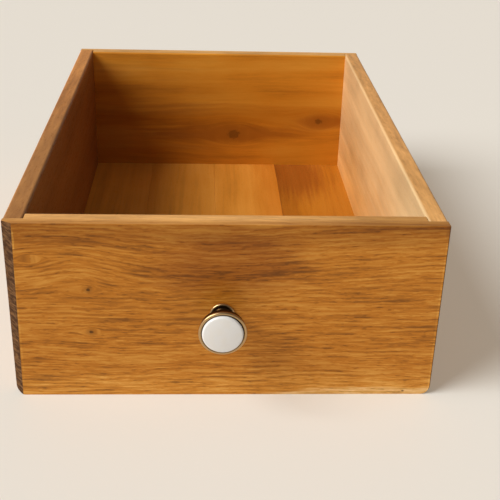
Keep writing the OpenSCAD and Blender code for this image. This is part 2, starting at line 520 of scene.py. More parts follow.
    def _line(self, g: Graph, along: Value, across: Value, through: Value) -> bpy.types.NodeSocket:
        """Bends straight lines of grain into the board's own figure.

        Args:
            g: Graph that takes the nodes.
            along: Place along the grain.
            across: Place across the grain.
            through: Place through the board.

        Returns:
            A number that is constant along each line of the grain.
        """
        line = g.math("MULTIPLY_ADD", along, -self.slope, across)
        place = (along, across, through)
        waver = g.noise(g.scaled(place, (9.0, 14.0, 9.0), self.shift), 1.0, 0.5)
        line = g.math("MULTIPLY_ADD", g.math("SUBTRACT", waver, 0.5), self.waver, line)
        ripple = g.noise(g.scaled(place, (48.0, 90.0, 60.0), self.shift + 2.4), 2.0, 0.5)
        line = g.math("MULTIPLY_ADD", g.math("SUBTRACT", ripple, 0.5), self.ripple, line)
        for swell in self.swells:
            x = g.math("DIVIDE", g.math("SUBTRACT", along, swell.along), swell.half_length)
            y = g.math("DIVIDE", g.math("SUBTRACT", across, swell.across), swell.half_width)
            square = g.math("ADD", g.math("MULTIPLY", x, x), g.math("MULTIPLY", y, y))
            line = g.math("MULTIPLY_ADD", g.math("EXPONENT", g.math("MULTIPLY", square, -1.0)),
                          -swell.rise, line)
        for knot in self.knots:
            x = g.math("MULTIPLY", g.math("SUBTRACT", along, knot.along), 0.45)
            y = g.math("SUBTRACT", across, knot.across)
            square = g.math("MULTIPLY_ADD", x, x, g.math("MULTIPLY", y, y))
            pull = g.math("DIVIDE", knot.flow ** 2, g.math("MAXIMUM", square, knot.flow ** 2))
            line = g.math("MULTIPLY_ADD", g.math("MULTIPLY", y, pull), -1.0, line)
        return line

    @staticmethod
    def _stain(g: Graph, colour: Value, stain: Stain, along: Value, across: Value,
               line: Value) -> bpy.types.NodeSocket:
        """Tints an oval of the board, with an edge that follows the grain.

        Args:
            g: Graph that takes the nodes.
            colour: Colour before.
            stain: The patch.
            along: Place along the grain.
            across: Place across the grain.
            line: Number that is constant along the grain.

        Returns:
            The tinted colour.
        """
        x = g.math("DIVIDE", g.math("SUBTRACT", along, stain.along), stain.half_length)
        y = g.math("DIVIDE", g.math("SUBTRACT", across, stain.across), stain.half_width)
        fray = g.vector(g.math("MULTIPLY", along, 14.0), g.math("MULTIPLY", line, 260.0), 0.0)
        ragged = g.noise(fray, 3.0)
        square = g.math("ADD", g.math("MULTIPLY", x, x), g.math("MULTIPLY", y, y))
        reach = g.math("MULTIPLY_ADD", g.math("SUBTRACT", ragged, 0.5), 1.1, g.math("SQRT", square))
        inside = g.step(reach, 1.0 + stain.edge, 1.0 - stain.edge)
        return g.blend(g.math("MULTIPLY", inside, stain.share), colour, stain.colour, "MULTIPLY")

    def _knot(self, g: Graph, colour: Value, knot: Knot, along: Value,
              across: Value) -> bpy.types.NodeSocket:
        """Darkens a knot's core and rings it.

        Args:
            g: Graph that takes the nodes.
            colour: Colour before.
            knot: The knot.
            along: Place along the grain.
            across: Place across the grain.

        Returns:
            The colour with the knot in it.
        """
        x = g.math("MULTIPLY", g.math("SUBTRACT", along, knot.along), 0.75)
        y = g.math("SUBTRACT", across, knot.across)
        far = g.math("SQRT", g.math("MULTIPLY_ADD", x, x, g.math("MULTIPLY", y, y)))
        ragged = g.noise(g.scaled((along, across, across), (420.0, 420.0, 0.0), self.shift), 2.0)
        far = g.math("MULTIPLY_ADD", g.math("SUBTRACT", ragged, 0.5), knot.core * 1.2, far)
        halo = g.math("MULTIPLY", g.step(far, knot.flow * 1.5, knot.core), 0.5 * knot.depth)
        colour = g.blend(halo, colour, tuple(0.75 * c for c in self.dark))
        core = g.math("MULTIPLY", g.step(far, knot.core * 1.25, knot.core * 0.6), knot.depth)
        return g.blend(core, colour, tuple(0.22 * c for c in self.dark))


@dataclass(frozen=True)
class PinFinish:
    """End grain of an oak pin that was cut flush and oiled."""

    name: str = "oak_pin_ends"
    pale: Colour = (0.30, 0.15, 0.045)
    deep: Colour = (0.10, 0.042, 0.012)

    def build(self) -> bpy.types.Material:
        """Makes the material.

        Returns:
            The material.
        """
        g = Graph(self.name)
        fibre = g.noise(g.place((120.0, 2200.0, 1500.0)), 2.0, 0.6)
        g.feed(g.shader.inputs["Base Color"], g.ramp(fibre, ((0.35, self.deep), (0.62, self.pale))))
        g.set(Roughness=0.5, IOR=1.48)
        g.bump(fibre, 0.1 * MM, 0.6)
        return g.material


@dataclass(frozen=True)
class BrassFinish:
    """Antique brass: dark in the hollows, rubbed bright at its widest parts.

    The rub follows the distance from the knob's axis.
    """

    name: str
    centre: Vector
    bright_from: float
    bright_to: float
    metal: Colour
    patina: Colour = (0.055, 0.030, 0.013)

    def build(self) -> bpy.types.Material:
        """Makes the material.

        Returns:
            The material.
        """
        g = Graph(self.name)
        offset = g.node("VectorMath", operation="SUBTRACT")
        g.feed(offset.inputs[0], g.node("TexCoord").outputs["Object"])
        g.feed(offset.inputs[1], tuple(self.centre))
        flat = g.node("VectorMath", operation="MULTIPLY")
        g.feed(flat.inputs[0], offset.outputs[0])
        g.feed(flat.inputs[1], (1.0, 0.0, 1.0))
        length = g.node("VectorMath", operation="LENGTH")
        g.feed(length.inputs[0], flat.outputs[0])
        cloud = g.noise(g.place((420.0, 420.0, 420.0)), 3.0, 0.6)
        reach = g.math("MULTIPLY_ADD", g.math("SUBTRACT", cloud, 0.5), 0.9 * MM,
                       length.outputs["Value"])
        rub = g.step(reach, self.bright_from, self.bright_to)
        g.feed(g.shader.inputs["Base Color"], g.blend(rub, self.patina, self.metal))
        g.feed(g.shader.inputs["Roughness"], g.math("MULTIPLY_ADD", cloud, 0.25, 0.22))
        g.set(Metallic=1.0)
        g.bump(cloud, 0.05 * MM, 0.25)
        return g.material


@dataclass(frozen=True)
class PorcelainFinish:
    """White glazed porcelain with a slightly uneven glaze."""

    name: str = "white_porcelain"
    body: Colour = (0.775, 0.76, 0.745)

    def build(self) -> bpy.types.Material:
        """Makes the material.

        Returns:
            The material.
        """
        g = Graph(self.name)
        cloud = g.noise(g.place((110.0, 110.0, 110.0)), 2.0, 0.5)
        warm = tuple(c * k for c, k in zip(self.body, (1.0, 0.985, 0.955)))
        g.feed(g.shader.inputs["Base Color"], g.blend(g.step(cloud, 0.4, 0.65), self.body, warm))
        g.set(Roughness=0.22, IOR=1.5, Coat_Weight=0.6, Coat_Roughness=0.06)
        g.bump(cloud, 0.08 * MM, 0.3)
        return g.material


@dataclass(frozen=True)
class SteelFinish:
    """Zinc-plated steel with a fine brushed grain."""

    name: str = "zinc_plated_steel"
    metal: Colour = (0.56, 0.57, 0.57)

    def build(self) -> bpy.types.Material:
        """Makes the material.

        Returns:
            The material.
        """
        g = Graph(self.name)
        grain = g.noise(g.place((600.0, 600.0, 3500.0)), 2.0, 0.5)
        pale = tuple(c * 1.15 for c in self.metal)
        g.feed(g.shader.inputs["Base Color"], g.blend(grain, self.metal, pale))
        g.feed(g.shader.inputs["Roughness"], g.math("MULTIPLY_ADD", grain, 0.2, 0.25))
        g.set(Metallic=1.0)
        g.bump(grain, 0.02 * MM, 0.3)
        return g.material


@dataclass(frozen=True)
class FloorFinish:
    """Matt off-white floor with a faint glow of its own, which keeps shadows on it light."""

    name: str = "pale_floor"
    paint: Colour = (0.58, 0.585, 0.57)
    glow: Colour = (1.0, 0.78, 0.55)
    glow_strength: float = 0.25

    def build(self) -> bpy.types.Material:
        """Makes the material.

        Returns:
            The material.
        """
        g = Graph(self.name)
        g.set(Base_Color=self.paint, Roughness=0.6, Emission_Color=self.glow,
              Emission_Strength=self.glow_strength)
        return g.material


def box_mesh(low: Vector, high: Vector) -> bmesh.types.BMesh:
    """Starts a mesh from a box.

    Args:
        low: Lowest corner.
        high: Highest corner.

    Returns:
        The mesh.
    """
    bm = bmesh.new()
    size = Matrix.Diagonal((*(high - low), 1.0))
    bmesh.ops.create_cube(bm, size=1.0, matrix=Matrix.Translation((low + high) / 2) @ size)
    return bm


def join_mesh(target: bmesh.types.BMesh, part: bmesh.types.BMesh) -> None:
    """Adds one mesh to another.

    Args:
        target: Mesh that grows.
        part: Mesh that is added, which is freed.
    """
    scratch = bpy.data.meshes.new("scratch")
    part.to_mesh(scratch)
    part.free()
    target.from_mesh(scratch)
    bpy.data.meshes.remove(scratch)


def push_faces(bm: bmesh.types.BMesh, faces: list[bmesh.types.BMFace], by: Vector,
               keep: bool = False) -> None:
    """Extrudes faces.

    Args:
        bm: The mesh.
        faces: Faces that are pushed.
        by: How far, and which way.
        keep: Whether the faces also stay where they were, as they must on a bare outline.
    """
    grown = bmesh.ops.extrude_face_region(bm, geom=faces)
    moved = [v for v in grown["geom"] if isinstance(v, bmesh.types.BMVert)]
    bmesh.ops.translate(bm, verts=moved, vec=by)
    if not keep:
        bmesh.ops.delete(bm, geom=faces, context="FACES")
    bmesh.ops.recalc_face_normals(bm, faces=bm.faces[:])


def slice_mesh(bm: bmesh.types.BMesh, point: Vector, normal: Vector, clear: bool = False) -> None:
    """Cuts a mesh with a plane, and can take away what lies beyond it.

    Args:
        bm: The mesh.
        point: Point on the plane.
        normal: Normal of the plane.
        clear: Whether the part that the normal points to goes, with the hole closed.
    """
    every = bm.verts[:] + bm.edges[:] + bm.faces[:]
    cut = bmesh.ops.bisect_plane(bm, geom=every, dist=1e-7, plane_co=point, plane_no=normal,
                                 clear_outer=clear)
    if clear:
        rim = [e for e in cut["geom_cut"] if isinstance(e, bmesh.types.BMEdge)]
        bmesh.ops.edgeloop_fill(bm, edges=rim)


def turned_mesh(profile: Sequence[Point], origin: Vector, axis: Vector, steps: int = 96,
                closed: bool = False) -> bmesh.types.BMesh:
    """Spins a profile round an axis.

    Args:
        profile: Radius and height of each point, from the bottom up.
        origin: Foot of the axis.
        axis: Direction of the axis.
        steps: Segments of the full turn.
        closed: Whether the profile's ends join, as for a ring.

    Returns:
        The mesh, with its normals pointing out.
    """
    bm = bmesh.new()
    verts = [bm.verts.new((r, 0.0, h)) for r, h in profile]
    pairs = list(zip(verts, verts[1:])) + ([(verts[-1], verts[0])] if closed else [])
    edges = [bm.edges.new(pair) for pair in pairs]
    bmesh.ops.spin(bm, geom=verts + edges, cent=(0, 0, 0), axis=(0, 0, 1), angle=tau,
                   steps=steps, use_merge=True)
    bmesh.ops.remove_doubles(bm, verts=bm.verts[:], dist=1e-6)
    turn = UP.rotation_difference(axis).to_matrix().to_4x4()
    bmesh.ops.transform(bm, matrix=Matrix.Translation(origin) @ turn, verts=bm.verts[:])
    bmesh.ops.recalc_face_normals(bm, faces=bm.faces[:])
    return bm


def arc(centre: Point, radius: float, start: float, end: float, steps: int) -> list[Point]:
    """Gives points along an arc.

    Args:
        centre: Centre, as radius and height.
        radius: Radius of the arc.
        start: Start angle in degrees, from the outward direction.
        end: End angle in degrees.
        steps: Segments of the arc.

    Returns:
        The points, from start to end.
    """
    angles = (radians(start + (end - start) * i / steps) for i in range(steps + 1))
    return [(centre[0] + radius * cos(a), centre[1] + radius * sin(a)) for a in angles]


def make_object(bm: bmesh.types.BMesh, name: str) -> bpy.types.Object:
    """Turns a mesh into an object at the origin.

    Args:
        bm: The mesh, which is freed.
        name: Name of the object.

    Returns:
        The object.
    """
    mesh = bpy.data.meshes.new(name)
    bm.to_mesh(mesh)
    bm.free()
    made = bpy.data.objects.new(name, mesh)
    bpy.context.scene.collection.objects.link(made)
    return made


def settle(piece: bpy.types.Object) -> None:
    """Applies a piece's modifiers to its mesh.

    Args:
        piece: The piece.
    """
    bpy.context.view_layer.update()
    shape = piece.evaluated_get(bpy.context.evaluated_depsgraph_get())
    final = bpy.data.meshes.new_from_object(shape)
    piece.modifiers.clear()
    old, piece.data = piece.data, final
    bpy.data.meshes.remove(old)
    final.name = piece.name


def weigh_bevels(bm: bmesh.types.BMesh, radius_at: Callable[[Vector, Vector], float],
                 widest: float) -> None:
    """Gives each sharp edge its own share of the widest bevel.

    Args:
        bm: The mesh.
        radius_at: Takes the middle and the direction of an edge and gives its radius.
        widest: Radius of the widest bevel.
    """
    layer = bm.edges.layers.float.new("bevel_weight_edge")
    for edge in bm.edges:
        if len(edge.link_faces) == 2 and edge.calc_face_angle() > radians(20):
            first, second = (v.co for v in edge.verts)
            edge[layer] = radius_at((first + second) / 2, (second - first).normalized()) / widest


def soften(piece: bpy.types.Object, widest: float, segments: int) -> None:
    """Rounds the edges that carry a weight, and applies the result.

    Args:
        piece: The piece.
        widest: Radius at full weight.
        segments: Segments of each round.
    """
    bevel = piece.modifiers.new("rounds", "BEVEL")
    bevel.limit_method = "WEIGHT"
    bevel.width = widest
    bevel.segments = segments
    bevel.profile = 0.5
    settle(piece)


def carve(piece: bpy.types.Object, tool: bmesh.types.BMesh) -> None:
    """Takes a shape away from a piece.

    Args:
        piece: The piece.
        tool: Mesh of what is taken away, which is freed.
    """
    cutter = make_object(tool, piece.name + "_cutter")
    cut = piece.modifiers.new("holes", "BOOLEAN")
    cut.operation = "DIFFERENCE"
    cut.solver = "EXACT"
    cut.object = cutter
    settle(piece)
    spent = cutter.data
    bpy.data.objects.remove(cutter)
    bpy.data.meshes.remove(spent)


def dress(piece: bpy.types.Object, material: bpy.types.Material, crease: float = 30.0) -> None:
    """Gives a piece its material and smooth shading that stops at creases.

    Args:
        piece: The piece.
        material: Its material.
        crease: Angle in degrees past which an edge stays sharp.
    """
    piece.data.materials.clear()
    piece.data.materials.append(material)
    piece.data.shade_smooth()
    piece.data.set_sharp_from_angle(angle=radians(crease))
    normals = piece.modifiers.new("normals", "WEIGHTED_NORMAL")
    normals.keep_sharp = True
    settle(piece)


def hand_over(piece: bpy.types.Object, body: Body, slot: Slot, *nodes: str) -> None:
    """Puts a piece on its body in place of its CAD nodes, and logs it.

    Args:
        piece: The piece.
        body: Body that it rides on.
        slot: Not used.
        nodes: CAD nodes that it stands for.
    """
    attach(piece, body.value)
    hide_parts(*nodes)
    log.info("%s: %d faces on %s", piece.name, len(piece.data.polygons), body.value)


@dataclass
class CaseSizes:
    """Planes and sizes of the case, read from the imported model."""

    arris: float = 2.0 * MM
    low_arris: float = 1.0 * MM
    end_round: float = 2.5 * MM
    end_flat: float = 6.0 * MM
    end_flat_depth: float = 3.6 * MM
    end_flat_lean: float = 1.0
    low_corner: float = 7.0 * MM
    edge_break: float = 0.35 * MM
    pin_nodes: tuple[str, ...] = ("front_left_pins", "front_right_pins",
                                  "back_left_pins", "back_right_pins")
    pin_radius: float = 2.0 * MM
    pins_per_corner: int = 3
    half_width: float = field(init=False)
    height: float = field(init=False)
    front_y: float = field(init=False)
    front_inner_y: float = field(init=False)
    back_y: float = field(init=False)
    back_inner_y: float = field(init=False)
    seat_low_y: float = field(init=False)
    seat_high_y: float = field(init=False)
    inner_x: float = field(init=False)
    rebate_x: float = field(init=False)
    floor_z: float = field(init=False)

    def __post_init__(self) -> None:
        """Reads the planes from the boxes of the CAD nodes."""
        front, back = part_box("front_board"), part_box("back_board")
        side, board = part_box("right_side"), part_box("bottom_board_4")
        self.half_width, self.height = front[1].x, front[1].z
        self.front_y, self.front_inner_y = front[0].y, front[1].y
        self.back_inner_y, self.back_y = back[0].y, back[1].y
        self.seat_low_y, self.seat_high_y = side[0].y, side[1].y
        self.inner_x, self.rebate_x, self.floor_z = side[0].x, board[1].x, board[1].z

    def pin_axes(self, node: str) -> list[Vector]:
        """Finds where the pins of one corner meet the outer face.

        Args:
            node: CAD node of the corner's pins.

        Returns:
            The middle of each pin's outer end.
        """
        low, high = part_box(node)
        x = low.x if low.x < 0 and high.x < 0 else high.x
        y = (low.y + high.y) / 2
        first = low.z + self.pin_radius
        pitch = (high.z - low.z - 2 * self.pin_radius) / (self.pins_per_corner - 1)
        return [Vector((x, y, first + k * pitch)) for k in range(self.pins_per_corner)]


@dataclass
class BottomScrews:
    """Slotted countersunk screws that hold the bottom in its rebate."""

    sizes: CaseSizes
    boards: int = 4
    side_screws: int = 3
    head_radius: float = 3.0 * MM
    shank_radius: float = 1.5 * MM
    sunk: float = 0.15 * MM
    slot_width: float = 0.8 * MM
    slot_depth: float = 0.8 * MM
    hole_play: float = 0.04 * MM
    seed: int = 7

    def places(self) -> list[Vector]:
        """Finds the screws on the underside.

        Returns:
            The middle of each head.
        """
        s = self.sizes
        low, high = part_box("bottom_screws")
        front_y, back_y = low.y + self.head_radius, high.y - self.head_radius
        side_x = high.x - self.head_radius
        run = s.seat_high_y - s.seat_low_y
        places = []
        for i in range(1, self.boards + 1):
            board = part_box(f"bottom_board_{i}")
            middle = (board[0].x + board[1].x) / 2
            places += [Vector((middle, front_y, 0)), Vector((middle, back_y, 0))]
        for k in range(1, self.side_screws + 1):
            y = s.seat_low_y + run * k / (self.side_screws + 1)
            places += [Vector((-side_x, y, 0)), Vector((side_x, y, 0))]
        return places

    def profile(self, grow: float) -> list[Point]:
        """Gives the outline of a countersunk screw on its head.

        Args:
            grow: How much wider than the screw the outline is.

        Returns:
            Radius and height of each point.
        """
        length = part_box("bottom_screws")[1].z
        neck = self.head_radius - self.shank_radius
        return [(0.0, 0.0), (self.head_radius + grow, 0.0), (self.shank_radius + grow, neck),
                (self.shank_radius + grow, length - 3 * self.shank_radius), (0.0, length + grow)]

    def holes(self, low: Vector, high: Vector) -> bmesh.types.BMesh:
        """Makes the drill shapes of the screws that go into one board.

        Args:
            low: Lowest corner of the board.
            high: Highest corner of the board.

        Returns:
            One mesh with a shape for each hole.
        """
        tool = bmesh.new()
        start = Vector((0, 0, -self.hole_play / 2))
        for place in self.places():
            if low.x < place.x < high.x and low.y < place.y < high.y:
                join_mesh(tool, turned_mesh(self.profile(self.hole_play), place + start, UP, 32))
        return tool

    def build(self, finish: bpy.types.Material) -> None:
        """Builds the screws as one piece, each slot at its own angle.

        Args:
            finish: Material of the screws.
        """
        draw = Random(self.seed)
        screws, slots = bmesh.new(), bmesh.new()
        half = Vector((self.head_radius * 2, self.slot_width / 2, self.slot_depth))
        for place in self.places():
            seat = place + Vector((0, 0, self.sunk))
            join_mesh(screws, turned_mesh(self.profile(0.0), seat, UP, 32))
            groove = box_mesh(-half, half)
            turn = Matrix.Translation(seat) @ Matrix.Rotation(draw.uniform(0, pi), 4, "Z")
            bmesh.ops.transform(groove, matrix=turn, verts=groove.verts[:])
            join_mesh(slots, groove)
        piece = make_object(screws, "bottom_screws_steel")
        carve(piece, slots)
        dress(piece, finish)
        hand_over(piece, Body.DRAWER, Slot.STEEL, "bottom_screws")


@dataclass(frozen=True)
class CrossCut:
    """How a board across the case is cut."""

    thick: float
    lip: float
    planed_left: bool


@dataclass
class WallBoards:
    """Front, back and side boards with lapped corners."""

    sizes: CaseSizes
    screws: BottomScrews
    hole_play: float = 0.06 * MM
    bolt_hole_radius: float = 2.08 * MM
    corner_segments: int = 8
    bevel_segments: int = 5

    def cross_board(self, cut: CrossCut) -> bmesh.types.BMesh:
        """Builds a board across the case with its outer face on y = 0.

        Args:
            cut: Its thickness, its lap and its ends.

        Returns:
            The mesh with its bevel weights.
        """
        s = self.sizes
        bm = box_mesh(Vector((-s.half_width, 0, 0)), Vector((s.half_width, cut.lip, s.height)))
        corners = [e for e in bm.edges
                   if abs(e.verts[0].co.y - e.verts[1].co.y) > HAIR and e.verts[0].co.z < HAIR]
        bmesh.ops.bevel(bm, geom=corners, offset=s.low_corner, segments=self.corner_segments,
                        profile=0.5, affect="EDGES", material=-1, clamp_overlap=True)
        for x in (-s.inner_x, s.inner_x):
            slice_mesh(bm, Vector((x, 0, 0)), Vector((1, 0, 0)))
        slice_mesh(bm, Vector((0, 0, s.floor_z)), UP)
        tongue = [f for f in bm.faces if f.normal.y > 0.9
                  and abs(f.calc_center_median().x) < s.inner_x
                  and f.calc_center_median().z > s.floor_z]
        push_faces(bm, tongue, Vector((0, cut.thick - cut.lip, 0)))
        if cut.planed_left:
            out = Vector((-s.end_flat_depth, -s.end_flat, 0)).normalized()
            out.rotate(Matrix.Rotation(radians(s.end_flat_lean), 3, "Y"))
            slice_mesh(bm, Vector((s.end_flat - s.half_width, 0, s.height / 2)), out, True)
            bmesh.ops.recalc_face_normals(bm, faces=bm.faces[:])
        weigh_bevels(bm, lambda mid, run: self._cross_radius(mid, run, cut), s.end_round)
        return bm

    def _cross_radius(self, mid: Vector, run: Vector, cut: CrossCut) -> float:
        """Gives the radius of one edge of a cross board.

        Args:
            mid: Middle of the edge.
            run: Direction of the edge.
            cut: How the board is cut.

        Returns:
            The radius in metres.
        """
        s = self.sizes
        if mid.z > s.height - HAIR:
            at_end = abs(abs(mid.x) - s.half_width) < HAIR
            slanted = cut.planed_left and mid.x < 0 and abs(run.x) > 0.1 and abs(run.y) > 0.1
            long_edge = abs(run.x) > 0.9 and (mid.y < HAIR or mid.y > cut.thick - HAIR)
            return s.arris if at_end or slanted or long_edge else 0.0
        if cut.planed_left and mid.x < s.end_flat - s.half_width + 1.5 * MM and abs(run.z) > 0.9:
            return s.edge_break
        if mid.y < HAIR:
            round_corner = abs(mid.x) > s.half_width - s.low_corner
            rise = min(1.0, mid.z / s.low_corner) if round_corner else 0.0
            return s.low_arris + (s.end_round - s.low_arris) * rise
        if abs(mid.y - cut.lip) < HAIR and abs(mid.x) > s.inner_x:
            return s.edge_break
        return 0.0

    def side_board(self) -> bmesh.types.BMesh:
        """Builds the right-hand side.

        Returns:
            The mesh with its bevel weights.
        """
        s = self.sizes
        bm = box_mesh(Vector((s.inner_x, s.seat_low_y, s.floor_z)),
                      Vector((s.half_width, s.seat_high_y, s.height)))
        slice_mesh(bm, Vector((s.rebate_x, 0, 0)), Vector((1, 0, 0)))
        strip = [f for f in bm.faces
                 if f.normal.z < -0.9 and f.calc_center_median().x > s.rebate_x]
        push_faces(bm, strip, -s.floor_z * UP)
        weigh_bevels(bm, self._side_radius, s.end_round)
        return bm

    def _side_radius(self, mid: Vector, run: Vector) -> float:
        """Gives the radius of one edge of a side.

        Args:
            mid: Middle of the edge.
            run: Direction of the edge.

        Returns:
            The radius in metres.
        """
        s = self.sizes
        if abs(run.y) < 0.9:
            return 0.0
        if mid.z > s.height - HAIR:
            return s.arris
        return s.low_arris if mid.z < HAIR and mid.x > s.half_width - HAIR else 0.0

    def holes(self, board: str) -> bmesh.types.BMesh:
        """Makes the drill shapes of one board, for its pins, screws and knob.

        Args:
            board: CAD node of the board.

        Returns:
            One mesh with a shape for each hole.
        """
        s = self.sizes
        tool = self.screws.holes(*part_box(board))
        if board == "front_board":
            low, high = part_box("knob_screw")
            start = Vector(((low.x + high.x) / 2, s.front_y - MM, (low.z + high.z) / 2))
            radius, depth = self.bolt_hole_radius, s.front_inner_y - s.front_y + 2 * MM
            outline = [(0.0, 0.0), (radius, 0.0), (radius, depth), (0.0, depth)]
            join_mesh(tool, turned_mesh(outline, start, Vector((0, 1, 0)), 48))
        corner = board.split("_")[0]
        for node in (n for n in s.pin_nodes if corner in n):
            low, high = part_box(node)
            for outer in s.pin_axes(node):
                middle = Vector(((low.x + high.x) / 2, outer.y, outer.z))
                turn = Matrix.Rotation(pi / 2, 4, "Y")
                bmesh.ops.create_cone(tool, cap_ends=True, segments=32,
                                      radius1=s.pin_radius + self.hole_play,
                                      radius2=s.pin_radius + self.hole_play,
                                      depth=high.x - low.x + 2 * MM,
                                      matrix=Matrix.Translation(middle) @ turn)
        return tool

    def build(self, finishes: dict[str, bpy.types.Material]) -> None:
        """Builds the four walls.

        Args:
            finishes: Material of each wall, by node name.
        """
        s = self.sizes
        cut = CrossCut(s.front_inner_y - s.front_y, s.seat_low_y - s.front_y, True)
        front = self.cross_board(cut)
        bmesh.ops.translate(front, verts=front.verts[:], vec=(0, s.front_y, 0))
        cut = CrossCut(s.back_y - s.back_inner_y, s.back_y - s.seat_high_y, False)
        back = self.cross_board(cut)
        bmesh.ops.scale(back, verts=back.verts[:], vec=(1, -1, 1))
        bmesh.ops.reverse_faces(back, faces=back.faces[:])
        bmesh.ops.translate(back, verts=back.verts[:], vec=(0, s.back_y, 0))
        left = self.side_board()
        bmesh.ops.scale(left, verts=left.verts[:], vec=(-1, 1, 1))
        bmesh.ops.reverse_faces(left, faces=left.faces[:])
        meshes = {"front_board": front, "back_board": back, "left_side": left,
                  "right_side": self.side_board()}
        for node, bm in meshes.items():
            board = make_object(bm, node + "_oak")
            soften(board, s.end_round, self.bevel_segments)
            carve(board, self.holes(node))
            dress(board, finishes[node])
            hand_over(board, Body.DRAWER, Slot.WALLS, node)


@dataclass
class CornerPins:
    """Oak pins driven through the corner laps and cut a hair proud."""

    sizes: CaseSizes
    proud: float = 0.12 * MM
    rim: float = 0.25 * MM

    def build(self, finish: bpy.types.Material) -> None:
        """Builds the pins of each corner as one piece.

        Args:
            finish: Material of the pins.
        """
        s = self.sizes
        for node in s.pin_nodes:
            low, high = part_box(node)
            length = high.x - low.x
            bm = bmesh.new()
            for outer in s.pin_axes(node):
                inward = Vector((-1.0 if outer.x > 0 else 1.0, 0, 0))
                profile = [(0.0, 0.0), (s.pin_radius - self.rim, 0.0), (s.pin_radius, self.rim),
                           (s.pin_radius, length), (0.0, length)]
                join_mesh(bm, turned_mesh(profile, outer - inward * self.proud, inward, 32))
            piece = make_object(bm, node + "_oak")
            dress(piece, finish)
            hand_over(piece, Body.DRAWER, Slot.PINS, node)


@dataclass
class BottomBoards:
    """Boards of the bottom and the tongues between them."""

    screws: BottomScrews
    joint_break: float = 0.4 * MM

    def build(self, finishes: Sequence[bpy.types.Material]) -> None:
        """Builds the boards, grooved for the tongues and drilled for the screws.

        Args:
            finishes: Material of each board, from left to right.
        """
        past = Vector((0, MM, 0))
        for i, finish in enumerate(finishes, 1):
            node = f"bottom_board_{i}"
            low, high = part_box(node)
            bm = box_mesh(low, high)
            weigh_bevels(bm, lambda mid, run: self.joint_break if abs(run.y) > 0.9 else 0.0,
                         self.joint_break)
            board = make_object(bm, node + "_oak")
            soften(board, self.joint_break, 2)
            tool = self.screws.holes(low, high)
            for k in (i - 1, i):
                if 0 < k < self.screws.boards:
                    start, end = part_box(f"bottom_tongue_{k}")
                    join_mesh(tool, box_mesh(start - past, end + past))
            carve(board, tool)
            dress(board, finish)
            hand_over(board, Body.DRAWER, Slot.BOTTOM, node)

    def dress_tongues(self, finish: bpy.types.Material) -> None:
        """Gives the hidden tongues their oak.

        Args:
            finish: Material of the tongues.
        """
        for k in range(1, self.screws.boards):
            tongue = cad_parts[f"bottom_tongue_{k}"]
            tongue.data.materials.clear()
            tongue.data.materials.append(finish)


